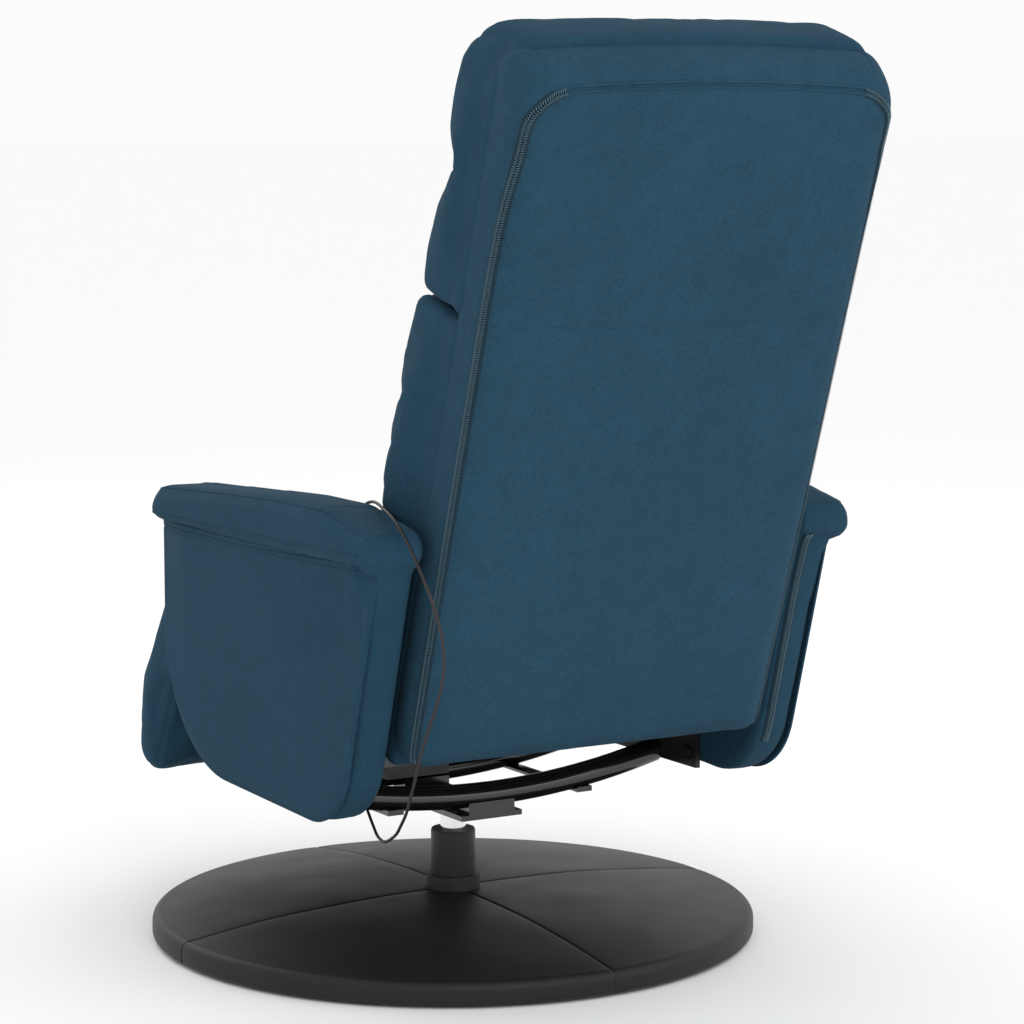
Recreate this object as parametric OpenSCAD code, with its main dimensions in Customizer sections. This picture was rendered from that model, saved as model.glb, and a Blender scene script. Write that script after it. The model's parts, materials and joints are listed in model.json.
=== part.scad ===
// Swivel massage recliner: a padded disc foot, a turning column, a bent-tube under-frame, a seat with
// two padded arms and side pockets, a reclining back and a footrest that swings up with it.
// Millimetres. +Z is up, the sitter faces -Y, +X is at the sitter's left hand. The origin is on the
// floor, on the swivel axis.

/* [Foot] */
// Radius of the padded disc foot
disc_r = 350; // [260:5:420]
// Height of the disc's top at its centre
disc_h = 50; // [40:1:70]
// Height of the disc's top at its rim
rim_h = 30; // [24:1:40]
// Outer radius of the pedestal tube
pedestal_r = 26; // [22:1:34]
// Height of the pedestal tube's top
pedestal_top = 118; // [100:1:130]
// Radius of the turning column
column_r = 15; // [12:0.5:18]

/* [Under-frame] */
// Height of the top plate's underside
plate_z = 148; // [140:1:160]
// Outer radius of the bent cross tubes
tube_r = 14; // [11:0.5:18]
// Distance of each cross tube from the swivel axis
tube_y = 75; // [60:1:90]
// Bend radius of the cross tubes
bend_r = 950; // [800:10:1300]
// Thickness of the side brackets
bracket_t = 6; // [4:0.5:8]

/* [Seat] */
// Width between the inner faces of the arms
seat_w = 476; // [396:1:572]
// Height of the seat's top
seat_top = 431; // [415:1:450]
// Foremost point of the seat
seat_front = 300; // [290:1:320]
// Rearmost point of the seat
seat_rear = 165; // [150:1:168]
// Size of the square seat frame tube
rail = 20; // [15:1:25]

/* [Arms] */
// Thickness of an arm's board
arm_t = 46; // [36:1:60]
// Width of an arm's top pad
pad_w = 80; // [70:1:96]
// Room inside a side pocket
pocket_gap = 8; // [6:0.5:14]
// Thickness of a side pocket's wall
pocket_wall = 3; // [2:0.5:4]

/* [Back] */
// Lean of the back from upright
back_lean = 18.2; // [14:0.1:22]
// Height of the back's rear panel along its lean
panel_h = 757; // [700:1:820]
// How much wider the back is at its top than between the arms, each side
back_flare = 3; // [0:1:6]
// Depth of the back's rear shell
shell_d = 45; // [38:1:55]
// Most that the back leans back
recline_max = 30; // [15:1:32]

/* [Footrest] */
// Half the width of the footrest
foot_half = 230; // [200:1:232]
// Radius of the footrest's upper end, round its hinge
foot_r = 38; // [32:1:40]
// Length of the footrest from hinge to lower end's centre
foot_len = 183; // [150:1:220]

/* [Handset] */
// Width of the handset
hand_w = 52; // [44:1:64]
// Length of the handset
hand_len = 150; // [130:1:180]
// Thickness of the handset
hand_t = 22; // [18:1:28]
// Diameter of the handset's cord
cord_d = 3.4; // [2.6:0.1:4.4]

/* [Fits] */
// Radial clearance of every turning fit
run_fit = 0.05; // [0.02:0.01:0.1]
// Gap left between soft parts that move past each other
soft_gap = 3; // [1:0.5:5]

/* [Hidden] */

// Foot: sheet under the board, board, foam and cover
sheet_t = 3;
board_t = 16;
cover_t = 3;
rim_r = 10;
board_r = disc_r - 14;
board_top = sheet_t + board_t;
flange_r = 90;
flange_t = 5;
flange_top = board_top + flange_t;
bolt_ring = 65;
bolt_r = 4;
bush_wall = 4;
bush_bore = column_r + run_fit;
bush_r = bush_bore + bush_wall;
collar_wall = 5;

// Under-frame
plate_t = 6;
plate_top = plate_z + plate_t;
tube_wall = 2;
tube_z = plate_top + 6 + tube_r;
bracket_out = seat_w / 2;
bracket_in = bracket_out - bracket_t;
bracket_low = 194;
bracket_high = 262;
bracket_front = -175;
bracket_rear = 160;
tie_x = 125;
tie_w = 20;
tie_t = 3;
bend_half = asin((bracket_in + 6) / bend_r);
tube_rise = bend_r - sqrt(bend_r * bend_r - tie_x * tie_x);
arm_bolt_y = [-120, 141];
arm_bolt_z = 210;

// Seat
rail_z = 238;
rail_out = bracket_in;
rail_front = -232;
rail_rear = 160;
web_t = 2;
web_z = rail_z + rail;
cushion_z = web_z + web_t;
seat_half = bracket_in - 6;
motor_r = 30;
motor_h = 20;

// Back: local v runs to the rear through its thickness and w up its lean, from the panel's lower edge
back_y = 304;
back_z = 262;
pivot_y = 215;
pivot_z = 330;
pin_r = 6;
low_half = bracket_in - 4;
back_half = low_half + back_flare;
low_w = 160;
shell_wall = 8;
lug_t = 8;
lug_in = low_half - shell_wall - lug_t;
lug_out = lug_in + lug_t;
lug_head_r = 7;
frame_r = 11;
frame_v = -30;
frame_x = lug_in - frame_r;
frame_low = 60;
frame_high = panel_h - 60;
web_rows = [110, 230, 350, 470, 590];
strap_w = 45;
motor_rows = [230, 350];
split_w = 490;
split_gap = 2;

// Footrest: hinge axis, and the panel's direction away from it in (Y, Z)
hinge_y = -275;
hinge_z = 345;
foot_dir = [-0.416, -0.910];
foot_low_r = 30;
foot_mid = 100;
foot_mid_r = 40;
foot_pin_r = 5;
hanger_x = 140;
hanger_t = 6;
lug_gap = 1;
foot_lug_t = 5;
slot_r = 80;
slot_in = hanger_x - 6;
slot_out = hanger_x + hanger_t + lug_gap + foot_lug_t + 6;
board_from = 55;
board_to = 180;
foot_board_t = 12;
foot_board_half = 205;

// Handset: it lies on the seat, its cord end towards the rear
hand_x = 150;
hand_y = 30;
hand_z = seat_top;
hand_split = hand_t * 0.55;
hand_wall = 2.5;
key_travel = 1;
key_gap = 0.3;
key_r = 6;
key_flange = 1.5;
key_places = [[0, 48], [0, 22], [-12, 0], [12, 0], [0, -22]];

// Control box under the seat
box_at = [40, -20, 200];
box_size = [80, 80, rail_z - 200];
gland_y = 30;
gland_z = 215;
gland_len = 8;

// The cord's route from its gland to the handset, for arms that stand 238 from the middle
cord_points = [
    [128, 30, 215], [136, 31, 214], [143, 35, 208], [147, 42, 197], [147, 50, 184], [148, 60, 174],
    [153, 78, 166], [163, 105, 161], [183, 153, 160], [200, 200, 166], [214, 248, 184],
    [222, 275, 201], [229, 299, 219], [234, 316, 237], [238, 333, 260], [242, 352, 290],
    [246, 376, 321], [250, 400, 351], [254, 419, 378], [258, 430, 404], [262, 433, 428],
    [267, 428, 454], [271, 419, 477], [272, 402, 498], [270, 378, 517], [268, 352, 534],
    [263, 326, 541], [257, 302, 544], [250, 278, 546], [243, 254, 545], [237, 230, 540],
    [232, 208, 530], [227, 193, 514], [223, 183, 494], [220, 172, 472], [213, 158, 452],
    [202, 148, 441], [186, 140, 438], [168, 132, 440], [154, 124, 442], [150, 117, 442],
];
cord_sides = 8;

// ---- shapes that several sub-parts share ----

// Carries a flat outline drawn in (Y, Z) across X from x0 to x1
module across(x0, x1) {
    translate([x0, 0, 0]) rotate([90, 0, 90]) linear_extrude(x1 - x0) children();
}

module left_and_right() {
    children();
    mirror([1, 0, 0]) children();
}

module ring(r_out, r_in, z0, z1) {
    translate([0, 0, z0]) difference() {
        cylinder(r = r_out, h = z1 - z0, $fn = 96);
        translate([0, 0, -1]) cylinder(r = r_in, h = z1 - z0 + 2, $fn = 96);
    }
}

module rod_x(r, x0, x1) {
    translate([x0, 0, 0]) rotate([0, 90, 0]) cylinder(r = r, h = x1 - x0, $fn = 48);
}

// Stands a shape drawn in the back's own (u, v, w) directions in its leaning place
module lean() {
    translate([0, back_y, back_z]) rotate([-back_lean, 0, 0]) children();
}

// ---- foot ----

module crown_outline(inset, low) {
    intersection() {
        polygon([
            [0, low], [disc_r - inset, low], [disc_r - inset, rim_h - rim_r],
            [disc_r - inset - rim_r, rim_h - inset], [disc_r * 0.5, disc_h - inset - 4],
            [0, disc_h - inset],
        ]);
        translate([0, -1]) square([disc_r, disc_h + 2]);
    }
}

module floor_disc() {
    color("#202020") cylinder(r = board_r - 4, h = sheet_t, $fn = 128);
}

module base_bolt_cuts(extra) {
    for (a = [45 : 90 : 315])
        rotate(a) translate([bolt_ring, 0, sheet_t])
            cylinder(r = bolt_r, h = board_t + flange_t + extra, $fn = 32);
}

module base_board() {
    color("#8a6a45") difference() {
        translate([0, 0, sheet_t]) cylinder(r = board_r, h = board_t, $fn = 128);
        base_bolt_cuts(1);
    }
}

module pedestal_tube() {
    color("#242424") difference() {
        union() {
            translate([0, 0, board_top]) cylinder(r = flange_r, h = flange_t, $fn = 96);
            translate([0, 0, board_top]) cylinder(r = pedestal_r, h = pedestal_top - board_top, $fn = 96);
        }
        translate([0, 0, board_top - 1]) cylinder(r = bush_r, h = pedestal_top, $fn = 96);
        base_bolt_cuts(1);
    }
}

module base_bolts() {
    color("silver") for (a = [45 : 90 : 315]) rotate(a) translate([bolt_ring, 0, 0]) {
        translate([0, 0, sheet_t]) cylinder(r = bolt_r, h = board_t + flange_t, $fn = 32);
        translate([0, 0, flange_top]) cylinder(r = bolt_r * 1.8, h = 5, $fn = 6);
    }
}

module base_foam() {
    color("#c9c3a8") difference() {
        rotate_extrude($fn = 128) crown_outline(cover_t, board_top);
        translate([0, 0, board_top - 1]) cylinder(r = flange_r + 1, h = flange_t + 7, $fn = 96);
        cylinder(r = pedestal_r, h = disc_h + 10, $fn = 96);
    }
}

module base_cover() {
    color("#262626") difference() {
        rotate_extrude($fn = 128) crown_outline(0, sheet_t);
        rotate_extrude($fn = 128) crown_outline(cover_t, board_top - 0.01);
        translate([0, 0, -1]) cylinder(r = board_r, h = board_top + 1.02, $fn = 128);
        cylinder(r = pedestal_r, h = disc_h + 10, $fn = 96);
    }
}

module pedestal_collar() {
    color("#1c1c1c") ring(pedestal_r + collar_wall, pedestal_r, disc_h, disc_h + 17);
}

module lower_bush() {
    color("#d9d4c5") ring(bush_r, bush_bore, flange_top + 6, flange_top + 30);
}

module upper_bush() {
    color("#1c1c1c") {
        ring(bush_r, bush_bore, pedestal_top - 24, pedestal_top);
        ring(pedestal_r - 1, bush_bore, pedestal_top, pedestal_top + 2);
    }
}

module thrust_washer() {
    color("#b8b8b8") translate([0, 0, board_top]) cylinder(r = bush_r - 0.5, h = 4, $fn = 64);
}

// ---- turning under-frame ----

module column() {
    color("#dcdcdc") translate([0, 0, board_top + 4])
        cylinder(r = column_r, h = plate_z - board_top - 4, $fn = 96);
}

// A cross tube's bent bar, low in the middle; grow thickens it
module bent_bar(y, r) {
    intersection() {
        translate([0, y, tube_z + bend_r]) rotate([90, 0, 0]) rotate([0, 0, -90 - bend_half])
            rotate_extrude(angle = 2 * bend_half, $fn = 180)
                translate([bend_r, 0]) circle(r = r, $fn = 48);
        translate([-bracket_in, y - 50, 0]) cube([2 * bracket_in, 100, tube_z + 200]);
    }
}

module cross_tube(y) {
    color("#0e0e0e") difference() {
        bent_bar(y, tube_r);
        bent_bar(y, tube_r - tube_wall);
    }
}

module front_cross_tube() { cross_tube(-tube_y); }

module rear_cross_tube() { cross_tube(tube_y); }

module top_plate() {
    saddle_h = tube_z - plate_top;
    color("#161616") {
        translate([-40, -tube_y - tube_r, plate_z]) cube([80, 2 * (tube_y + tube_r), plate_t]);
        for (y = [-tube_y, tube_y]) difference() {
            translate([-30, y - tube_r, plate_top]) cube([60, 2 * tube_r, saddle_h * 0.7]);
            bent_bar(y, tube_r);
        }
    }
}

module tie_bars() {
    bar_z = tube_z + tube_rise - tube_r - tie_t;
    color("#161616") left_and_right() difference() {
        translate([tie_x - tie_w / 2, -tube_y - tube_r, bar_z])
            cube([tie_w, 2 * (tube_y + tube_r), 2 * tie_t]);
        for (y = [-tube_y, tube_y]) bent_bar(y, tube_r);
        translate([tie_x - tie_w, -tube_y, bar_z + tie_t]) cube([2 * tie_w, 2 * tube_y, tie_t + 1]);
    }
}

module arm_bolt_places() {
    for (y = arm_bolt_y) translate([0, y, arm_bolt_z]) children();
}

module bracket() {
    color("#2b2a2a") difference() {
        across(bracket_in, bracket_out) union() {
            translate([bracket_front, bracket_low])
                square([bracket_rear - bracket_front, bracket_high - bracket_low]);
            polygon([
                [100, bracket_high - 1], [bracket_rear, bracket_high - 30],
                [pivot_y + 14, pivot_z - 10], [pivot_y - 14, pivot_z + 10],
            ]);
            translate([pivot_y, pivot_z]) circle(r = 17, $fn = 64);
        }
        translate([0, pivot_y, pivot_z]) rod_x(pin_r, bracket_in - 1, bracket_out + 1);
        arm_bolt_places() rod_x(bolt_r, bracket_in - 1, bracket_out + 1);
    }
}

module bracket_left() { bracket(); }

module bracket_right() { mirror([1, 0, 0]) bracket(); }

module bracket_bolts() {
    color("#3a3a3a") left_and_right() arm_bolt_places() {
        rod_x(bolt_r, bracket_in, bracket_out + 25);
        rod_x(8, bracket_in - 5, bracket_in);
    }
}

// ---- seat ----

module seat_frame() {
    long = rail_rear - rail_front;
    color("#1a1a1a") {
        difference() {
            translate([-rail_out, rail_front, rail_z]) cube([2 * rail_out, long, rail]);
            translate([rail - rail_out, rail_front + rail, rail_z - 1])
                cube([2 * (rail_out - rail), long - 2 * rail, rail + 2]);
        }
        translate([rail - rail_out, 10, rail_z]) cube([2 * (rail_out - rail), rail, rail]);
    }
}

module seat_webbing() {
    color("#3c3c3c") for (y = [-205 : 60 : 100])
        translate([-rail_out + 4, y, web_z]) cube([2 * rail_out - 8, strap_w, web_t]);
}

module seat_motors() {
    color("#303030") for (x = [-80, 80])
        translate([x, -60, web_z - motor_h]) cylinder(r = motor_r, h = motor_h, $fn = 48);
}

module seat_cushion() {
    color("#22485e") across(-seat_half, seat_half) difference() {
        union() {
            translate([rail_front, cushion_z]) square([seat_rear - rail_front, seat_top - cushion_z]);
            translate([-seat_front + 12, hinge_z]) square([seat_front - 100, seat_top - hinge_z]);
            translate([-seat_front + 20, seat_top - 20]) circle(r = 20, $fn = 48);
            translate([-seat_front, hinge_z + foot_r + soft_gap + 2])
                square([40, seat_top - 20 - hinge_z - foot_r - soft_gap - 2]);
        }
        translate([hinge_y, hinge_z]) circle(r = foot_r + soft_gap, $fn = 64);
        translate([-seat_front - 10, cushion_z - 10])
            square([seat_front + 10 + rail_front - 3, hinge_z - cushion_z + 10]);
        translate([-seat_front - 10, hinge_z])
            square([seat_front + 10 + hinge_y, foot_r + soft_gap]);
    }
}

// ---- arms ----

// The line along which the top pad lies on the board, as a height at y
function pad_line(y) = 486 + (y + 152) * 0.02;

module arm_outline() {
    intersection() {
        hull() {
            translate([-12, 362]) circle(r = 162, $fn = 96);
            translate([190, 288]) circle(r = 94, $fn = 96);
            translate([-174, 400]) square([500, 120]);
            translate([300, 440]) square([46, 80]);
        }
        polygon([[-200, 150], [400, 150], [400, pad_line(400)], [-200, pad_line(-200)]]);
    }
}

module arm_board() {
    color("#22485e") difference() {
        across(bracket_out, bracket_out + arm_t) arm_outline();
        arm_bolt_places() rod_x(bolt_r, bracket_out - 1, bracket_out + 25);
    }
}

module arm_board_left() { arm_board(); }

module arm_board_right() { mirror([1, 0, 0]) arm_board(); }

// Middles of the pad's rounds as (y, height, radius): it droops towards its rear end
pad_rounds = [
    [-150, pad_line(-150) + 24, 24], [110, pad_line(110) + 27, 27],
    [250, pad_line(250) + 26, 26], [342, 507, 25],
];

module arm_pad() {
    pad_in = bracket_out - 6;
    color("#22485e") difference() {
        hull() for (p = pad_rounds) for (x = [pad_in + p[2], pad_in + pad_w - p[2]])
            translate([x, p[0], p[1]]) sphere(r = p[2], $fn = 32);
        across(pad_in - 1, pad_in + pad_w + 1)
            polygon([[-200, 400], [346.5, 400], [346.5, pad_line(346.5)], [-200, pad_line(-200)]]);
    }
}

module arm_pad_left() { arm_pad(); }

module arm_pad_right() { mirror([1, 0, 0]) arm_pad(); }

module pocket_outline() {
    intersection() {
        arm_outline();
        translate([-200, 150]) square([600, 328]);
    }
}

module arm_pocket() {
    face = bracket_out + arm_t;
    color("#22485e") {
        across(face, face + pocket_gap) difference() {
            pocket_outline();
            intersection() {
                offset(delta = -4) arm_outline();
                translate([-200, 150]) square([600, 400]);
            }
            translate([-150, 400]) square([480, 100]);
        }
        across(face + pocket_gap, face + pocket_gap + pocket_wall) pocket_outline();
    }
}

module arm_pocket_left() { arm_pocket(); }

module arm_pocket_right() { mirror([1, 0, 0]) arm_pocket(); }

// ---- massage control box, cord and handset ----

module control_box() {
    color("#1f1f1f") difference() {
        translate(box_at) cube(box_size);
        translate([box_at[0] + 20, box_at[1] - 1, gland_z]) rotate([-90, 0, 0])
            cylinder(r = 6, h = 12, $fn = 48);
    }
}

module cord_gland() {
    color("#111111") translate([box_at[0] + box_size[0], gland_y, gland_z]) rod_x(5, 0, gland_len);
}

module power_inlet() {
    color("#111111") translate([box_at[0] + 20, box_at[1] - 4, gland_z]) rotate([-90, 0, 0])
        difference() {
            cylinder(r = 6, h = 15, $fn = 48);
            translate([0, 0, -1]) cylinder(r = 2.8, h = 12, $fn = 32);
        }
}

// The route's points, the outer ones carried sideways with the arm
cord_route = [for (p = cord_points)
    [p[0] + (bracket_out - 238) * min(1, max(0, (p[0] - 160) / 80)), p[1], p[2]]];

// One ring of the cord, square to the way from the point before to the point after
function unit(a) = a / norm(a);
function way(i) = unit(cord_route[min(i + 1, len(cord_route) - 1)] - cord_route[max(i - 1, 0)]);
function side(i) = unit(cross(way(i), [0.577, -0.577, 0.577]));
function cord_ring(i) = [for (k = [0 : cord_sides - 1])
    let (a = 360 * k / cord_sides)
    cord_route[i] + cord_d / 2 * (cos(a) * side(i) + sin(a) * cross(way(i), side(i)))];

module handset_cord() {
    n = len(cord_route);
    m = cord_sides;
    color("#141010") polyhedron(
        points = [for (i = [0 : n - 1]) each cord_ring(i)],
        faces = concat(
            [[for (k = [m - 1 : -1 : 0]) k]],
            [for (i = [0 : n - 2]) for (k = [0 : m - 1])
                [i * m + k, i * m + (k + 1) % m, (i + 1) * m + (k + 1) % m, (i + 1) * m + k]],
            [[for (k = [0 : m - 1]) (n - 1) * m + k]]
        )
    );
}

module hand_outline(inset) {
    hull() for (y = [-1, 1])
        translate([0, y * (hand_len - hand_w) / 2]) circle(r = hand_w / 2 - inset, $fn = 48);
}

module at_handset() {
    translate([hand_x, hand_y, hand_z]) children();
}

module handset_back() {
    color("#1d1d1d") at_handset() {
        difference() {
            linear_extrude(hand_split) hand_outline(0);
            translate([0, 0, hand_wall]) linear_extrude(hand_split) hand_outline(hand_wall);
        }
        translate([0, hand_len / 2 - 0.5, hand_split - 1.1]) rotate([-90, 0, 0])
            cylinder(r = 4, h = 12.5, $fn = 32);
    }
}

module handset_front() {
    color("#2a2a2a") at_handset() difference() {
        translate([0, 0, hand_split]) linear_extrude(hand_t - hand_split) hand_outline(0);
        translate([0, 0, hand_split - 1])
            linear_extrude(hand_t - hand_split - hand_wall + 1) hand_outline(hand_wall);
        for (p = key_places) translate([p[0], p[1], 0])
            cylinder(r = key_r + key_gap, h = hand_t + 1, $fn = 48);
        translate([0, -46, 0]) cylinder(r = 3, h = hand_t + 1, $fn = 32);
    }
}

module handset_lens() {
    color("#b03030") at_handset() translate([0, -46, hand_t - hand_wall])
        cylinder(r = 3, h = hand_wall + 0.5, $fn = 32);
}

module hand_key(i, tint) {
    inner = hand_t - hand_wall;
    color(tint) at_handset() translate([key_places[i][0], key_places[i][1], 0]) {
        translate([0, 0, inner - key_gap]) cylinder(r = key_r, h = hand_wall + key_gap + 2, $fn = 48);
        translate([0, 0, inner - key_gap - key_flange]) cylinder(r = key_r + 1.5, h = key_flange, $fn = 48);
    }
}

module button_power() { hand_key(0, "#a83030"); }

module button_mode() { hand_key(1, "#555555"); }

module button_stronger() { hand_key(2, "#555555"); }

module button_weaker() { hand_key(3, "#555555"); }

module button_heat() { hand_key(4, "#a86020"); }

// ---- reclining back ----

module lug_bolt_places() {
    for (w = [90, 140]) translate([0, frame_v, w]) children();
}

module back_pins() {
    color("#9a9a9a") left_and_right() translate([0, pivot_y, pivot_z])
        union() {
            rod_x(pin_r, lug_in + 1, bracket_out);
            rod_x(10, lug_out + 0.4, bracket_in);
        }
}

// A lug from the side, in (Y, Z): an eye round the pin and an arm up the frame tube
module lug_outline() {
    translate([pivot_y, pivot_z]) circle(r = 16, $fn = 64);
    translate([back_y, back_z]) rotate(-back_lean) polygon([
        [-118, 24], [-100, 22], [-18, 78], [-18, 152], [-42, 152], [-46, 92], [-118, 50],
    ]);
}

module back_lugs() {
    color("#2b2a2a") left_and_right() difference() {
        across(lug_in, lug_out) lug_outline();
        translate([0, pivot_y, pivot_z]) rod_x(pin_r + run_fit, lug_in - 1, lug_out + 1);
        lean() lug_bolt_places() rod_x(bolt_r, lug_in - 1, lug_out + 1);
    }
}

module lug_bolts() {
    color("silver") left_and_right() lean() lug_bolt_places() {
        rod_x(bolt_r, frame_x, lug_out);
        rod_x(lug_head_r, lug_out, lug_out + 3);
    }
}

module back_frame() {
    color("#1a1a1a") lean() difference() {
        union() {
            left_and_right() translate([frame_x, frame_v, frame_low])
                cylinder(r = frame_r, h = frame_high - frame_low, $fn = 48);
            for (w = [frame_low + frame_r, frame_high - frame_r])
                translate([0, frame_v, w]) rod_x(frame_r, -frame_x, frame_x);
        }
        left_and_right() lug_bolt_places() rod_x(bolt_r, frame_x, frame_x + 20);
    }
}

module back_webbing() {
    color("#3c3c3c") lean() for (w = web_rows)
        translate([-frame_x - 5, frame_v - frame_r - web_t, w])
            cube([2 * frame_x + 10, web_t, strap_w]);
}

module back_motors() {
    color("#303030") lean() for (w = motor_rows) for (x = [-75, 75])
        translate([x, frame_v - frame_r, w + strap_w / 2]) rotate([-90, 0, 0])
            cylinder(r = motor_r, h = motor_h, $fn = 48);
}

// The back seen from behind, in (u, w): straight beside the hinges, then wider to rounded top corners
module back_outline(inset, top) {
    corner = 55;
    low_r = 20;
    hull() for (s = [-1, 1]) for (w = [low_r, low_w])
        translate([s * (low_half - low_r), w]) circle(r = low_r - inset, $fn = 32);
    hull() for (s = [-1, 1]) {
        translate([s * (low_half - low_r), low_w]) circle(r = low_r - inset, $fn = 32);
        translate([s * (back_half - corner), top - corner]) circle(r = corner - inset, $fn = 64);
    }
}

module back_slab(v0, v1) {
    translate([0, v1, 0]) rotate([90, 0, 0]) linear_extrude(v1 - v0) children();
}

module back_shell() {
    color("#2c4a5c") lean() difference() {
        back_slab(-shell_d, 0) back_outline(0, panel_h);
        back_slab(-shell_d - 1, -shell_wall) back_outline(shell_wall, panel_h);
        left_and_right() lug_bolt_places() rod_x(lug_head_r + 1, lug_in, low_half + 4);
    }
}

// Front profile of the back cushions, in (v, w)
module cushion_profile() {
    polygon([
        [-shell_d, -14], [-shell_d, split_w - split_gap], [-141, split_w - split_gap], [-160, 440],
        [-170, 340], [-170, 240], [-162, 160], [-150, 90], [-135, 20], [-95, -30],
    ]);
}

module back_cushion() {
    color("#22485e") difference() {
        lean() across(-low_half, low_half) cushion_profile();
        left_and_right() across(lug_in - 1, low_half + 1) offset(delta = 2) lug_outline();
    }
}

module headrest_profile() {
    roll = panel_h + 24;
    polygon([
        [-shell_d, split_w + split_gap], [-shell_d, panel_h - 5], [-55, roll - 10], [-80, roll],
        [-115, roll], [-135, roll - 14], [-143, roll - 60], [-147, 640], [-143, 622], [-151, 590],
        [-151, 550], [-141, split_w + split_gap],
    ]);
}

module headrest_cushion() {
    color("#22485e") lean() intersection() {
        across(-back_half, back_half) headrest_profile();
        back_slab(-200, 10) back_outline(0, panel_h + 24);
    }
}

// ---- footrest ----

function foot_at(t, n) = [hinge_y + foot_dir[0] * t - foot_dir[1] * n,
                          hinge_z + foot_dir[1] * t + foot_dir[0] * n];

module foot_outline() {
    hull() {
        translate([hinge_y, hinge_z]) circle(r = foot_r, $fn = 64);
        translate(foot_at(foot_mid, -3)) circle(r = foot_mid_r, $fn = 64);
        translate(foot_at(foot_len, 0)) circle(r = foot_low_r, $fn = 64);
    }
}

module foot_board_outline() {
    polygon([
        foot_at(board_from, -foot_board_t / 2), foot_at(board_to, -foot_board_t / 2),
        foot_at(board_to, foot_board_t / 2), foot_at(board_from, foot_board_t / 2),
    ]);
}

module footrest_hangers() {
    color("#1a1a1a") left_and_right() difference() {
        across(hanger_x, hanger_x + hanger_t) hull() {
            translate([rail_front - 11, rail_z + 10]) circle(r = 11, $fn = 48);
            translate([hinge_y, hinge_z]) circle(r = 12, $fn = 48);
        }
        translate([0, hinge_y, hinge_z]) rod_x(foot_pin_r, hanger_x - 1, hanger_x + hanger_t + 1);
    }
}

module footrest_pins() {
    color("#9a9a9a") left_and_right() translate([0, hinge_y, hinge_z]) {
        rod_x(foot_pin_r, hanger_x - 1, slot_out - 4);
        rod_x(foot_pin_r + 3, hanger_x - 4, hanger_x - 1);
    }
}

module foot_lug_outline() {
    hull() {
        translate([hinge_y, hinge_z]) circle(r = 12, $fn = 48);
        translate(foot_at(90, 0)) circle(r = 12, $fn = 48);
    }
}

module footrest_lugs() {
    lug_in = hanger_x + hanger_t + lug_gap;
    color("#2b2a2a") left_and_right() difference() {
        across(lug_in, lug_in + foot_lug_t) difference() {
            foot_lug_outline();
            foot_board_outline();
        }
        translate([0, hinge_y, hinge_z]) rod_x(foot_pin_r + run_fit, lug_in - 1, lug_in + foot_lug_t + 1);
    }
}

module footrest_board() {
    color("#8a6a45") across(-foot_board_half, foot_board_half) foot_board_outline();
}

module footrest_pad() {
    lug_in = hanger_x + hanger_t + lug_gap;
    color("#22485e") difference() {
        across(-foot_half, foot_half) foot_outline();
        across(-foot_board_half, foot_board_half) foot_board_outline();
        left_and_right() {
            across(slot_in, slot_out) translate([hinge_y, hinge_z]) circle(r = slot_r, $fn = 64);
            across(lug_in, lug_in + foot_lug_t) foot_lug_outline();
        }
    }
}

floor_disc();
base_board();
base_foam();
base_cover();
pedestal_tube();
pedestal_collar();
lower_bush();
upper_bush();
thrust_washer();
base_bolts();
column();
top_plate();
front_cross_tube();
rear_cross_tube();
tie_bars();
bracket_left();
bracket_right();
bracket_bolts();
seat_frame();
seat_webbing();
seat_motors();
seat_cushion();
arm_board_left();
arm_board_right();
arm_pad_left();
arm_pad_right();
arm_pocket_left();
arm_pocket_right();
control_box();
cord_gland();
power_inlet();
handset_cord();
handset_back();
handset_front();
handset_lens();
button_power();
button_mode();
button_stronger();
button_weaker();
button_heat();
back_pins();
back_lugs();
lug_bolts();
back_frame();
back_webbing();
back_motors();
back_shell();
back_cushion();
headrest_cushion();
footrest_hangers();
footrest_pins();
footrest_lugs();
footrest_board();
footrest_pad();
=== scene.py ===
"""Looks of a swivel massage recliner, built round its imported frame. Metres, +Z up, the sitter faces -Y."""

import json
import bmesh
import bpy
import numpy as np
from bpy.props import FloatProperty, FloatVectorProperty, PointerProperty
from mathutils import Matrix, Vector
from mathutils.bvhtree import BVHTree

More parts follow.
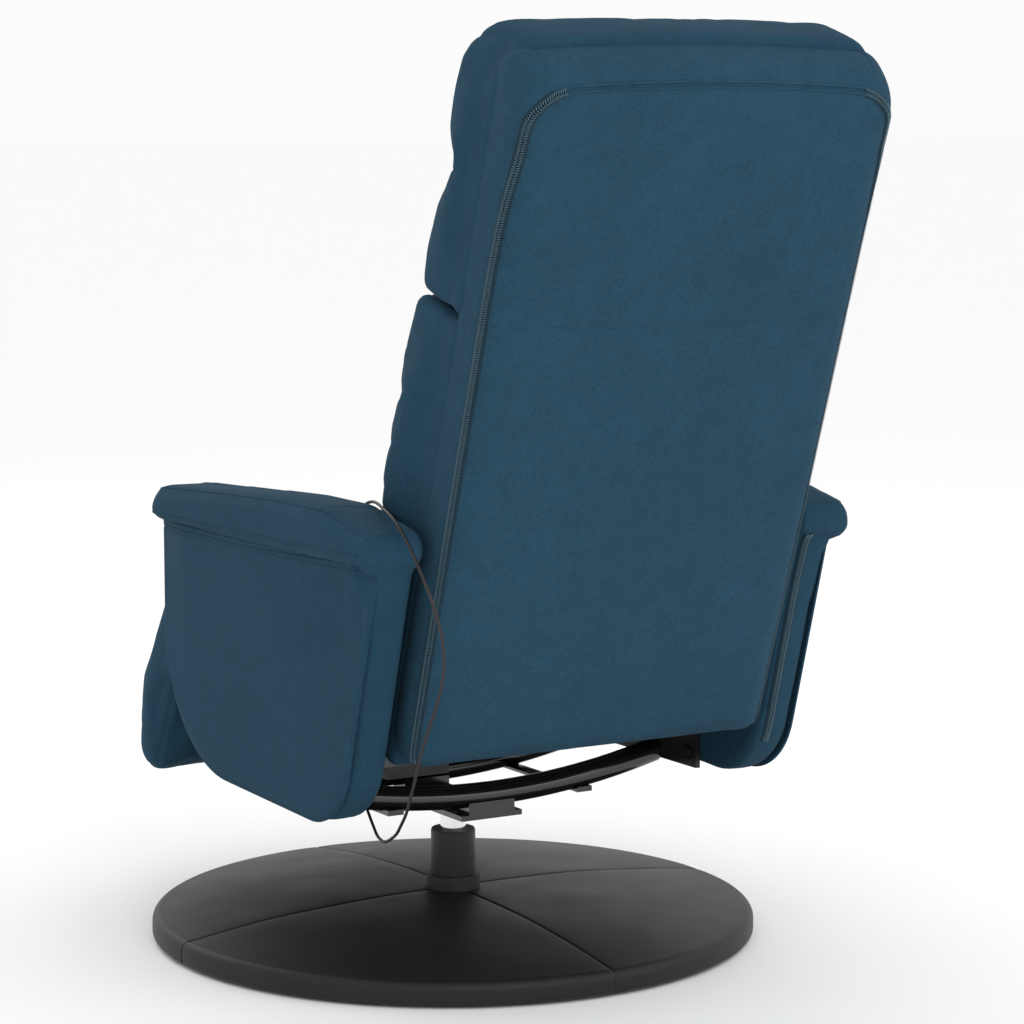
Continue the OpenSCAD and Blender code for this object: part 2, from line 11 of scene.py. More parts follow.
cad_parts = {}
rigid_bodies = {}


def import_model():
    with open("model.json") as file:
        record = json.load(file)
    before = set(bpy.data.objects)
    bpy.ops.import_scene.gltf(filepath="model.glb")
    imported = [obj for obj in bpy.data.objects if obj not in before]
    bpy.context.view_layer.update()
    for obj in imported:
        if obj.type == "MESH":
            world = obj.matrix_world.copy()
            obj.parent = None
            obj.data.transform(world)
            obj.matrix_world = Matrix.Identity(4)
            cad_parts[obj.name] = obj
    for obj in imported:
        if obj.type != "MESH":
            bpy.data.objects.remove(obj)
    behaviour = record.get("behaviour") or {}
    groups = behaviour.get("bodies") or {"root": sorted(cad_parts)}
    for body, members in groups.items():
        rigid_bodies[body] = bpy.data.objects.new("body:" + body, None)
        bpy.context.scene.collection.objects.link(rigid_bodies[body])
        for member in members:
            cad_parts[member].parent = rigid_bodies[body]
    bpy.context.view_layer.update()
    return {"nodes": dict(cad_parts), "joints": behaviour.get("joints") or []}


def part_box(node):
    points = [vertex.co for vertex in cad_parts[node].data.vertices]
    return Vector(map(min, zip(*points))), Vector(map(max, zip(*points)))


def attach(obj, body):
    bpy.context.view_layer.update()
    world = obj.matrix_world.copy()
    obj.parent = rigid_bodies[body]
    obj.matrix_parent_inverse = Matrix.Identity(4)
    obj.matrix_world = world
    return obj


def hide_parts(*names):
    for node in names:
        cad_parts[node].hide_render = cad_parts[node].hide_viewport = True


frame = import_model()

bl_info = {
    "name": "Swivel Recliner Looks",
    "version": (1, 0, 0),
    "blender": (4, 5, 0),
    "location": "3D View > Sidebar > Recliner",
    "description": "Upholstery, zips, cord, metal finishes and stage of a swivel recliner",
    "category": "Add Mesh",
}

MM = 0.001
SIDES = (("left", 1), ("right", -1))

# Places that the frame gives
HINGE = {j["name"]: j["pos_m"] for j in frame["joints"] if "pos_m" in j}
FOOT_HINGE = np.array(HINGE["footrest_lift"])
SEAT_LOW, SEAT_HIGH = (np.array(c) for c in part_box("seat_cushion"))
ARM_LOW, ARM_HIGH = (np.array(c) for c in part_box("arm_board_left"))
PAD_LOW, PAD_HIGH = (np.array(c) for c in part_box("arm_pad_left"))
DISC_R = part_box("base_cover")[1].x
COLLAR_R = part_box("pedestal_collar")[1].x


# ---- settings ----


class ReclinerFabric(bpy.types.PropertyGroup):
    """Colours and weave of the upholstery"""

    body: FloatVectorProperty(
        name="Body colour", description="Colour of the cushions and arms", subtype="COLOR",
        default=(0.0165, 0.0530, 0.0870), min=0, max=1)
    # The panel colour is the body fabric's colour made a little lighter: painted light for the light that
    # falls on the rear panel
    panel: FloatVectorProperty(
        name="Panel colour with painted light", description="Colour of the back's rear panel", subtype="COLOR",
        default=(0.0185, 0.0570, 0.0920), min=0, max=1)
    thread: FloatVectorProperty(
        name="Thread colour", description="Colour of stitching and zip tape", subtype="COLOR",
        default=(0.0080, 0.0270, 0.0440), min=0, max=1)
    weave: FloatProperty(
        name="Weave pitch", description="Distance between the fabric's threads", default=0.0011,
        min=0.0004, max=0.004, unit="LENGTH")
    puff: FloatProperty(
        name="Pressure", description="Pressure that swells the cushions", default=4.0, min=0, max=12)


class ReclinerBack(bpy.types.PropertyGroup):
    """Places of the reclining back"""

    lean: FloatProperty(
        name="Lean", description="Lean of the back from upright", default=np.radians(18.2),
        subtype="ANGLE")
    foot_y: FloatProperty(
        name="Lower edge Y", description="Y of the rear panel's lower edge", default=0.304,
        unit="LENGTH")
    foot_z: FloatProperty(
        name="Lower edge Z", description="Height of the rear panel's lower edge", default=0.262,
        unit="LENGTH")
    panel: FloatProperty(
        name="Panel height", description="Height of the rear panel along its lean", default=0.757,
        unit="LENGTH")
    top: FloatProperty(
        name="Top", description="Height of the top roll along the lean", default=0.793, unit="LENGTH")


class ReclinerStage(bpy.types.PropertyGroup):
    """Camera, light and floor"""

    lens: FloatProperty(name="Lens", description="Focal length", default=116.0, min=20, max=300)
    floor: FloatVectorProperty(
        name="Floor", description="Colour of the floor", subtype="COLOR", default=(0.985, 0.985, 0.985))
    key: FloatProperty(name="Key light", description="Power of the main light", default=34, unit="POWER")
    sky: FloatProperty(name="Sky", description="Strength of the light all round", default=0.97)


class ReclinerSettings(bpy.types.PropertyGroup):
    """All the settings of the recliner"""

    fabric: PointerProperty(type=ReclinerFabric)
    back: PointerProperty(type=ReclinerBack)
    stage: PointerProperty(type=ReclinerStage)


def settings():
    return bpy.context.scene.recliner


# ---- mesh tools ----


def points_of(obj):
    """The mesh's points as an array."""
    co = np.empty(len(obj.data.vertices) * 3, np.float32)
    obj.data.vertices.foreach_get("co", co)
    return co.reshape(-1, 3).astype(float)


def normals_of(obj):
    """The mesh's normal at each point."""
    no = np.empty(len(obj.data.vertices) * 3, np.float32)
    obj.data.vertex_normals.foreach_get("vector", no)
    return no.reshape(-1, 3).astype(float)


def set_points(obj, co):
    obj.data.vertices.foreach_set("co", np.ascontiguousarray(co, np.float32).ravel())
    obj.data.update()


def make(name, points, faces, smooth=True):
    """A mesh object from an array of points and a list of faces."""
    mesh = bpy.data.meshes.new(name)
    mesh.from_pydata(np.asarray(points, float).reshape(-1, 3).tolist(), [], faces)
    mesh.update()
    if smooth:
        mesh.shade_smooth()
    obj = bpy.data.objects.new(name, mesh)
    bpy.context.scene.collection.objects.link(obj)
    return obj


def grid_faces(rows, columns, wrap_columns=False, start=0):
    """Quads that join each point of a grid to the next along both ways, row by row."""
    r = np.arange(rows - 1)[:, None]
    c = np.arange(columns if wrap_columns else columns - 1)[None, :]
    r1, c1 = r + 1, (c + 1) % columns
    quads = np.stack([r * columns + c, r * columns + c1, r1 * columns + c1, r1 * columns + c], -1)
    return (quads.reshape(-1, 4) + start).tolist()


def capped_faces(rows, columns):
    """The faces of a form whose rows are closed rings, with a cap over its first and its last ring."""
    last = (rows - 1) * columns
    ends = [list(range(columns)), list(range(last, last + columns))]
    return grid_faces(rows, columns, wrap_columns=True) + ends


def unit(vectors):
    """Each vector over its own length."""
    return vectors / np.linalg.norm(vectors, axis=-1, keepdims=True)


def clean(obj, merge=1e-5):
    """Merges doubled points and turns every face outwards."""
    work = bmesh.new()
    work.from_mesh(obj.data)
    bmesh.ops.remove_doubles(work, verts=work.verts, dist=merge)
    bmesh.ops.recalc_face_normals(work, faces=work.faces)
    work.to_mesh(obj.data)
    work.free()
    obj.data.update()
    return obj


def settle(obj):
    """Applies the object's modifiers to its mesh."""
    depsgraph = bpy.context.evaluated_depsgraph_get()
    mesh = bpy.data.meshes.new_from_object(obj.evaluated_get(depsgraph), depsgraph=depsgraph)
    obj.modifiers.clear()
    old, obj.data = obj.data, mesh
    mesh.name = obj.name
    bpy.data.meshes.remove(old)
    mesh.shade_smooth()
    return obj


def join(first, *others):
    """Puts several meshes into the first one."""
    work = bmesh.new()
    for obj in (first, *others):
        work.from_mesh(obj.data)
    work.to_mesh(first.data)
    work.free()
    for obj in others:
        bpy.data.objects.remove(obj)
    return first


def block(name, size, radius, warp, step=0.012):
    """A rounded block. Points of a grid on a box's six faces are drawn in to a core smaller by the radius,
    then pushed out from it by the radius; warp carries the result, as arrays from -1 to 1, to its place."""
    half = np.array(size) / 2
    counts = [max(6, int(s / step)) for s in size]
    points, faces, start = [], [], 0
    for axis in range(3):
        u, v = [i for i in range(3) if i != axis]
        a = np.linspace(-1, 1, counts[u] + 1)[:, None]
        b = np.linspace(-1, 1, counts[v] + 1)[None, :]
        for end in (-1, 1):
            p = np.empty((counts[u] + 1, counts[v] + 1, 3))
            p[..., u], p[..., v], p[..., axis] = a, b, end
            p = p * half
            core = np.clip(p, -(half - radius), half - radius)
            out = p - core
            p = core + radius * out / np.linalg.norm(out, axis=-1, keepdims=True)
            points.append((p / half).reshape(-1, 3))
            faces += grid_faces(counts[u] + 1, counts[v] + 1, start=start)
            start += points[-1].shape[0]
    p = np.concatenate(points)
    return clean(make(name, np.stack(warp(p[:, 0], p[:, 1], p[:, 2]), -1), faces))


def hull_line(circles, inset=0.0, count=160):
    """The outline round some circles (y, z, radius), found by asking, for every direction, which circle
    reaches furthest that way."""
    c = np.array(circles)
    angle = np.linspace(0, 2 * np.pi, count, endpoint=False)
    way = np.stack([np.cos(angle), np.sin(angle)], -1)
    radius = np.maximum(c[:, 2] - inset, 0.0005)
    reach = way @ c[:, :2].T + radius
    best = reach.argmax(1)
    return c[best, :2] + radius[best, None] * way


def slab(name, circles, x0, x1, edge, count=160):
    """A slab across X whose outline is the hull of circles, with rounded edges: the outline is drawn in by
    edge times one less the sine of a quarter turn."""
    turn = np.linspace(0, np.pi / 2, 7)
    inset = np.concatenate([edge * (1 - np.sin(turn)), edge * (1 - np.sin(turn[::-1]))])
    x = np.concatenate([x0 + edge * (1 - np.cos(turn)), x1 - edge * (1 - np.cos(turn[::-1]))])
    rings = []
    for place, drawn in zip(x, inset):
        line = hull_line(circles, drawn, count)
        rings.append(np.column_stack([np.full(count, place), line]))
    return clean(make(name, np.concatenate(rings), capped_faces(len(rings), count)))


def inflate(obj, voxel, cap, give=None, smooth=8):
    """Pads a shape: an even remesh, cloth with pressure inside it, each point's move capped and scaled by
    give, then one subdivision."""
    even = obj.modifiers.new("even", "REMESH")
    even.mode, even.voxel_size = "VOXEL", voxel
    soft = obj.modifiers.new("soften", "SMOOTH")
    soft.factor, soft.iterations = 0.5, smooth
    settle(obj)
    start = points_of(obj)
    cloth = obj.modifiers.new("cloth", "CLOTH")
    cloth.settings.quality = 5
    cloth.settings.mass = 0.3
    cloth.settings.tension_stiffness = 20
    cloth.settings.compression_stiffness = 10
    cloth.settings.shear_stiffness = 8
    cloth.settings.bending_stiffness = 1.5
    cloth.settings.use_pressure = True
    cloth.settings.uniform_pressure_force = settings().fabric.puff
    cloth.settings.effector_weights.gravity = 0
    cloth.collision_settings.use_collision = False
    for now in range(1, 21):
        bpy.context.scene.frame_set(now)
    seen = obj.evaluated_get(bpy.context.evaluated_depsgraph_get())
    end = np.empty(len(start) * 3, np.float32)
    seen.data.vertices.foreach_get("co", end)
    obj.modifiers.remove(cloth)
    bpy.context.scene.frame_set(1)
    move = end.reshape(-1, 3) - start
    size = np.linalg.norm(move, axis=1, keepdims=True)
    move *= np.minimum(1, cap / np.maximum(size, 1e-9))
    if give is not None:
        move *= give(start)[:, None]
    set_points(obj, start + move)
    finer = obj.modifiers.new("finer", "SUBSURF")
    finer.levels = finer.render_levels = 1
    return settle(obj)


def distance_to(path, co):
    """How far each point is from a path's own points, a few thousand points at a time."""
    path = np.asarray(path)
    parts = [np.sqrt(((c[:, None, :] - path[None]) ** 2).sum(-1).min(1))
             for c in np.array_split(co, max(1, len(co) // 2000))]
    return np.concatenate(parts)


def crease(obj, amount):
    """Pulls the surface in along its normals by an amount for each point."""
    co = points_of(obj)
    set_points(obj, co - normals_of(obj) * amount(co)[:, None])


def bell(x, width):
    """A bump of height 1 at 0: e to the minus square of x over its width."""
    return np.exp(-((x / width) ** 2))


def ease(x):
    """Smooth rise from 0 to 1: x squared times three less two x."""
    x = np.clip(x, 0, 1)
    return x * x * (3 - 2 * x)


def spread(path, pitch):
    """Points evenly along a path, a pitch apart."""
    path = np.asarray(path, float)
    run = np.concatenate([[0], np.cumsum(np.linalg.norm(np.diff(path, axis=0), axis=1))])
    at = np.linspace(0, run[-1], max(2, int(round(run[-1] / pitch)) + 1))
    return np.stack([np.interp(at, run, path[:, i]) for i in range(3)], -1)


def rounded(path, pitch, passes=6):
    """A path with its corners eased, by averaging each inner point with its neighbours."""
    p = spread(path, pitch)
    for _ in range(passes):
        p[1:-1] = (p[:-2] + 2 * p[1:-1] + p[2:]) / 4
    return p


def lay_on(obj, path, lift):
    """Moves a path's points onto a mesh, lift above it. Gives the points and the surface's normals."""
    tree = BVHTree.FromObject(obj, bpy.context.evaluated_depsgraph_get())
    hits = [tree.find_nearest(Vector(p)) for p in path]
    place = np.array([h[0] for h in hits])
    normal = np.array([h[1] for h in hits])
    for _ in range(4):
        normal[1:-1] = normal[:-2] + 2 * normal[1:-1] + normal[2:]
        normal = unit(normal)
    return place + normal * lift, normal


def ways(path):
    """The direction of a path at each of its points."""
    return unit(np.gradient(path, axis=0))


def tube(name, path, radius, sides=8, normal=None, flat=1.0):
    """A round cord along a path. Each ring turns round the path's own direction; flat squeezes it towards
    the normal it lies on."""
    path = np.asarray(path, float)
    way = ways(path)
    if normal is None:
        normal = np.empty_like(path)
        last = np.cross(way[0], (0.577, -0.577, 0.577))
        for i, w in enumerate(way):
            last = last - w * (last @ w)
            last = last / np.linalg.norm(last)
            normal[i] = last
    across = unit(np.cross(way, normal))
    a = np.linspace(0, 2 * np.pi, sides, endpoint=False)[None, :, None]
    ring = path[:, None] + radius * (np.cos(a) * across[:, None] + flat * np.sin(a) * normal[:, None])
    return clean(make(name, ring.reshape(-1, 3), capped_faces(len(path), sides)))


def ribbon(name, path, normal, width, thick, bend):
    """A flat strip along a path: its edges drop by the square of their distance over twice the radius of
    the corner that it lies on."""
    way = ways(path)
    across = unit(np.cross(way, normal))
    side = np.array([-0.5, -0.42, 0, 0.42, 0.5, 0.42, -0.42])
    rise = np.array([0, 0.6, 1, 0.6, 0, -1.2, -1.2]) * thick - (side * width) ** 2 / (2 * bend)
    ring = (path[:, None] + across[:, None] * side[None, :, None] * width
            + normal[:, None] * rise[None, :, None])
    return clean(make(name, ring.reshape(-1, 3), capped_faces(len(path), len(side))))


LINK = np.array([[-1, -1, 0], [1, -1, 0], [1, 1, 0], [-1, 1, 0],
                 [-0.7, -0.55, 1], [0.7, -0.55, 1], [0.7, 0.55, 1], [-0.7, 0.55, 1]], float)
LINK_FACES = [[3, 2, 1, 0], [4, 5, 6, 7], [0, 1, 5, 4], [1, 2, 6, 5], [2, 3, 7, 6], [3, 0, 4, 7]]


def links(name, path, normal, pitch, size, turn=0.0, shift=0.0):
    """Small bars in a row along a path, such as stitches or zip teeth: one bar at every pitch, turned in
    the surface by an angle and shifted across the path."""
    count = max(2, int(np.linalg.norm(np.diff(path, axis=0), axis=1).sum() / pitch))
    at = np.linspace(0, len(path) - 1, count)
    index = np.arange(len(path))
    place = np.stack([np.interp(at, index, path[:, i]) for i in range(3)], -1)
    up = np.stack([np.interp(at, index, normal[:, i]) for i in range(3)], -1)
    way = ways(place)
    side = unit(np.cross(way, up))
    up = np.cross(side, way)
    long = np.cos(turn) * way + np.sin(turn) * side
    wide = np.cos(turn) * side - np.sin(turn) * way
    local = LINK * (np.array(size) * (0.5, 0.5, 1.0))
    p = (place[:, None] + shift * side[:, None] + long[:, None] * local[None, :, 0:1]
         + wide[:, None] * local[None, :, 1:2] + up[:, None] * local[None, :, 2:3])
    faces = (np.array(LINK_FACES)[None] + 8 * np.arange(count)[:, None, None]).reshape(-1, 4).tolist()
    obj = make(name, p.reshape(-1, 3), faces)
    return clean(obj, 1e-7)


def mirrored(obj, name):
    """The same shape on the other side of the chair, with its faces turned back outwards."""
    mesh = obj.data.copy()
    mesh.name = name
    other = bpy.data.objects.new(name, mesh)
    bpy.context.scene.collection.objects.link(other)
    co = points_of(other)
    co[:, 0] *= -1
    set_points(other, co)
    mesh.flip_normals()
    mesh.shade_smooth()
    return other


def finish_piece(obj, body, material, slot, *nodes):
    """Gives a piece its material and its body, and hides the frame nodes that it stands for; its slot is not
    used.
    """
    obj.data.materials.clear()
    obj.data.materials.append(bpy.data.materials[material])
    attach(obj, body)
    if nodes:
        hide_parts(*nodes)
    return obj


# ---- shader groups and materials ----


def socket(group, name, way, kind, value=None):
    made = group.interface.new_socket(name=name, in_out=way, socket_type=kind)
    if value is not None:
        made.default_value = value
    return made


def new_group(name, inputs, outputs):
    group = bpy.data.node_groups.new(name, "ShaderNodeTree")
    for label, value in inputs:
        kind = "NodeSocketColor" if isinstance(value, tuple) else "NodeSocketFloat"
        socket(group, label, "INPUT", kind, value)
    for label, kind in outputs:
        socket(group, label, "OUTPUT", kind)
    into = group.nodes.new("NodeGroupInput")
    out = group.nodes.new("NodeGroupOutput")
    return group, into, out


def node(tree, kind, links_in=(), **values):
    made = tree.nodes.new(kind)
    for key, value in values.items():
        setattr(made, key, value)
    for name, source in links_in:
        target = made.inputs[name]
        if isinstance(source, (int, float, tuple)):
            target.default_value = source
        else:
            tree.links.new(source, target)
    return made


def math_node(tree, operation, a, b=0.0):
    return node(tree, "ShaderNodeMath", ((0, a), (1, b)), operation=operation).outputs[0]


def weave_group():
    """Woven cloth from object coordinates: threads are waves along all three axes, so every face shows
    them; fine noise frays them and coarse noise mottles the colour."""
    group, into, out = new_group(
        "Weave",
        [("Colour", (0.02, 0.06, 0.1, 1)), ("Pitch", 0.0011), ("Mottle", 0.12), ("Depth", 1.0)],
        [("Colour", "NodeSocketColor"), ("Roughness", "NodeSocketFloat"), ("Height", "NodeSocketFloat")],
    )
    t = group
    at = node(t, "ShaderNodeTexCoord").outputs["Object"]
    turns = math_node(t, "DIVIDE", 6.2832, into.outputs["Pitch"])
    parts = node(t, "ShaderNodeSeparateXYZ", (("Vector", at),))
    waves = [math_node(t, "SINE", math_node(t, "MULTIPLY", parts.outputs[i], turns)) for i in range(3)]
    lattice = math_node(t, "ADD", math_node(t, "MULTIPLY", waves[0], waves[2]),
                        math_node(t, "MULTIPLY", waves[1], waves[2]))
    fray = node(t, "ShaderNodeTexNoise", (("Vector", at), ("Scale", 1400.0), ("Detail", 3.0)))
    soft = node(t, "ShaderNodeTexNoise",
                (("Vector", at), ("Scale", 38.0), ("Detail", 5.0), ("Roughness", 0.62)))
    fleck = node(t, "ShaderNodeTexNoise", (("Vector", at), ("Scale", 420.0), ("Detail", 2.0)))
    broad = node(t, "ShaderNodeTexNoise", (("Vector", at), ("Scale", 6.0), ("Detail", 3.0)))
    height = math_node(t, "ADD", math_node(t, "MULTIPLY", lattice, 0.25), fray.outputs["Fac"])
    grain = math_node(t, "ADD", math_node(t, "MULTIPLY", soft.outputs["Fac"], 0.55),
                      math_node(t, "MULTIPLY", broad.outputs["Fac"], 0.45))
    specks = math_node(t, "MULTIPLY", math_node(t, "SUBTRACT", fleck.outputs["Fac"], 0.5), 1.1)
    grain = math_node(t, "ADD", grain, math_node(t, "ADD", math_node(t, "MULTIPLY", lattice, 0.11), specks))
    shade = math_node(t, "MULTIPLY", math_node(t, "SUBTRACT", grain, 0.5), into.outputs["Mottle"])
    bright = math_node(t, "ADD", 1.0, math_node(t, "MULTIPLY", shade, 4.0))
    colour = node(t, "ShaderNodeVectorMath", ((0, into.outputs["Colour"]),), operation="SCALE")
    t.links.new(bright, colour.inputs["Scale"])
    t.links.new(colour.outputs[0], out.inputs["Colour"])
    t.links.new(math_node(t, "ADD", 0.82, math_node(t, "MULTIPLY", fray.outputs["Fac"], 0.14)),
                out.inputs["Roughness"])
    t.links.new(math_node(t, "MULTIPLY", height, into.outputs["Depth"]), out.inputs["Height"])
    return group


def grain_group():
    """Fine pebbled grain, as on moulded plastic and coated cloth: cells for the pebbles, noise for wear."""
    group, into, out = new_group(
        "Grain",
        [("Colour", (0.02, 0.02, 0.02, 1)), ("Scale", 900.0), ("Roughness", 0.45), ("Wear", 0.1)],
        [("Colour", "NodeSocketColor"), ("Roughness", "NodeSocketFloat"), ("Height", "NodeSocketFloat")],
    )
    t = group
    at = node(t, "ShaderNodeTexCoord").outputs["Object"]
    cells = node(t, "ShaderNodeTexVoronoi", (("Vector", at),))
    t.links.new(into.outputs["Scale"], cells.inputs["Scale"])
    rub = node(t, "ShaderNodeTexNoise", (("Vector", at), ("Scale", 22.0), ("Detail", 5.0)))
    shade = math_node(t, "MULTIPLY", math_node(t, "SUBTRACT", rub.outputs["Fac"], 0.5), into.outputs["Wear"])
    colour = node(t, "ShaderNodeVectorMath", ((0, into.outputs["Colour"]),), operation="SCALE")
    t.links.new(math_node(t, "ADD", 1.0, math_node(t, "MULTIPLY", shade, 3.0)), colour.inputs["Scale"])
    t.links.new(colour.outputs[0], out.inputs["Colour"])
    t.links.new(math_node(t, "ADD", into.outputs["Roughness"], shade), out.inputs["Roughness"])
    t.links.new(cells.outputs["Distance"], out.inputs["Height"])
    return group


def material(name, group, values, bump, **shader):
    """A material whose colour, roughness and height come from a group; the rest is set on the shader."""
    made = bpy.data.materials.new(name)
    made.use_nodes = True
    tree = made.node_tree
    principled = tree.nodes["Principled BSDF"]
    effect = tree.nodes.new("ShaderNodeGroup")
    effect.node_tree = group
    for key, value in values.items():
        effect.inputs[key].default_value = (*value, 1) if key == "Colour" else value
    tree.links.new(effect.outputs["Colour"], principled.inputs["Base Color"])
    tree.links.new(effect.outputs["Roughness"], principled.inputs["Roughness"])
    height = tree.nodes.new("ShaderNodeBump")
    height.inputs["Strength"].default_value = bump[0]
    height.inputs["Distance"].default_value = bump[1]
    tree.links.new(effect.outputs["Height"], height.inputs["Height"])
    tree.links.new(height.outputs["Normal"], principled.inputs["Normal"])
    for key, value in shader.items():
        principled.inputs[key.replace("_", " ")].default_value = value
    return made


# Grained finishes: colour, grain scale, roughness, wear, bump strength and distance, shader's own values
GRAINED = (
    ("zip teeth", (0.045, 0.105, 0.14), 700.0, 0.38, 0.1, 0.05, 0.0001, {}),
    ("coated cloth", (0.0105, 0.0106, 0.0110), 650.0, 0.50, 0.12, 0.12, 0.0003,
     {"Specular_IOR_Level": 0.28}),
    ("gloss black", (0.0060, 0.0060, 0.0065), 260.0, 0.16, 0.05, 0.03, 0.0002,
     {"Coat_Weight": 0.5, "Coat_Roughness": 0.08}),
    ("satin black", (0.0110, 0.0110, 0.0112), 420.0, 0.36, 0.1, 0.06, 0.0002, {}),
    ("dark steel", (0.030, 0.027, 0.026), 500.0, 0.42, 0.2, 0.08, 0.0002, {"Metallic": 0.6}),
    ("chrome", (0.27, 0.27, 0.28), 120.0, 0.14, 0.10, 0.01, 0.0001, {"Metallic": 1.0}),
    ("zinc", (0.42, 0.42, 0.43), 300.0, 0.34, 0.2, 0.05, 0.0002, {"Metallic": 1.0}),
    ("moulded black", (0.0130, 0.0130, 0.0135), 1500.0, 0.52, 0.08, 0.2, 0.0001, {}),
    ("moulded grey", (0.11, 0.11, 0.115), 1500.0, 0.5, 0.1, 0.2, 0.0001, {}),
    ("moulded pale", (0.62, 0.58, 0.48), 1200.0, 0.5, 0.1, 0.1, 0.0001, {}),
    ("lens red", (0.35, 0.02, 0.02), 200.0, 0.15, 0.1, 0.02, 0.0001, {"Coat_Weight": 0.6}),
    ("cord rubber", (0.0075, 0.0055, 0.0050), 900.0, 0.48, 0.1, 0.08, 0.0001, {}),
    ("rubber", (0.014, 0.014, 0.014), 800.0, 0.8, 0.1, 0.2, 0.0003, {}),
    ("board", (0.26, 0.16, 0.075), 300.0, 0.7, 0.4, 0.2, 0.0003, {}),
)


def make_materials():
    weave, grain = weave_group(), grain_group()
    cloth = settings().fabric
    wool = {"Sheen_Weight": 0.02, "Sheen_Roughness": 0.5, "Specular_IOR_Level": 0.06}
    # The panel fabric is the body fabric painted a little lighter, as painted light on the lit rear panel
    for name, colour, mottle in (("body fabric", cloth.body, 0.14), ("panel fabric", cloth.panel, 0.14)):
        material(name, weave, {"Colour": tuple(colour), "Pitch": cloth.weave, "Mottle": mottle},
                 (0.35, 0.0004), **wool)
    material("thread", weave, {"Colour": tuple(cloth.thread), "Pitch": 0.0005, "Mottle": 0.1},
             (0.3, 0.0002), Specular_IOR_Level=0.3)
    for name, colour, scale, roughness, wear, strength, distance, shader in GRAINED:
        material(name, grain, {"Colour": colour, "Scale": scale, "Roughness": roughness, "Wear": wear},
                 (strength, distance), **shader)
    material("webbing", weave, {"Colour": (0.045, 0.045, 0.045), "Pitch": 0.003, "Mottle": 0.1},
             (0.6, 0.0006))


FRAME_FINISHES = {
    "gloss black": ("front_cross_tube", "rear_cross_tube", "tie_bars", "top_plate", "seat_frame",
                    "back_frame", "footrest_hangers"),
    "satin black": ("pedestal_tube", "back_lugs"),
    "moulded black": ("pedestal_collar", "upper_bush", "seat_motors", "back_motors", "control_box",
                      "power_inlet", "handset_back", "handset_front"),
    "moulded grey": ("button_mode", "button_stronger", "button_weaker", "button_heat"),
    "lens red": ("handset_lens", "button_power"),
    "moulded pale": ("lower_bush",),
    "dark steel": ("bracket_left", "bracket_right", "footrest_lugs", "bracket_bolts", "lug_bolts"),
    "chrome": ("column",),
    "zinc": ("thrust_washer", "base_bolts", "back_pins", "footrest_pins"),
    "cord rubber": ("cord_gland",),
    "rubber": ("floor_disc",),
    "board": ("base_board", "footrest_board"),
    "webbing": ("seat_webbing", "back_webbing"),
}


# ---- the back's own directions ----


def lean(u, v, w):
    """From the back's own directions to the chair's: u across, v to the rear through it, w up its lean."""
    b = settings().back
    s, c = np.sin(b.lean), np.cos(b.lean)
    return np.stack(np.broadcast_arrays(u, b.foot_y + v * c + w * s, b.foot_z - v * s + w * c), -1)


def unlean(co):
    b = settings().back
    s, c = np.sin(b.lean), np.cos(b.lean)
    y, z = co[:, 1] - b.foot_y, co[:, 2] - b.foot_z
    return co[:, 0], y * c - z * s, y * s + z * c


def half_width(w):
    """Half the back's width, which grows a little towards the top."""
    return np.interp(w, [0.0, 0.05, 0.30, 0.69], [0.2235, 0.2255, 0.2275, 0.2295])


def arch(a, corner=0.026):
    """How far the top falls towards its corners, for a from -1 to 1 across the back."""
    a = np.abs(a)
    return 0.009 * a**2 + corner * np.clip((a - 0.80) / 0.20, 0, 1) ** 2.6


# ---- pieces ----


def make_cord():
    """The handset's cord: a smooth curve through its route's points, weighted between each four in a row."""
    route = np.array(CORD_POINTS) * MM
    padded = np.vstack([2 * route[0] - route[1], route, 2 * route[-1] - route[-2]])
    t = np.linspace(0, 1, 6, endpoint=False)[:, None]
    pieces = []
    for i in range(1, len(padded) - 2):
        a, b, c, d = padded[i - 1 : i + 3]
        pieces.append(0.5 * (2 * b + (c - a) * t + (2 * a - 5 * b + 4 * c - d) * t**2
                             + (3 * b - a - 3 * c + d) * t**3))
    path = np.vstack([*pieces, route[-1:]])
    cord = tube("handset_lead", path, CORD_D / 2, sides=12)
    finish_piece(cord, "seat", "cord rubber", "cord_rubber", "handset_cord")


CORD_D = 0.0034
CORD_POINTS = [
    (128, 30, 215), (136, 31, 214), (143, 35, 208), (147, 42, 197), (147, 50, 184), (148, 60, 174),
    (153, 78, 166), (163, 105, 161), (183, 153, 160), (200, 200, 166), (214, 248, 184),
    (222, 275, 201), (229, 299, 219), (234, 316, 237), (238, 333, 260), (242, 352, 290),
    (246, 376, 321), (250, 400, 351), (254, 419, 378), (258, 430, 404), (262, 433, 428),
    (267, 428, 454), (271, 419, 477), (272, 402, 498), (270, 378, 517), (268, 352, 534),
    (263, 326, 541), (257, 302, 544), (250, 278, 546), (243, 254, 545), (237, 230, 540),
    (232, 208, 530), (227, 193, 514), (223, 183, 494), (220, 172, 472), (213, 158, 452),
    (202, 148, 441), (186, 140, 438), (168, 132, 440), (154, 124, 442), (150, 117, 442),
]


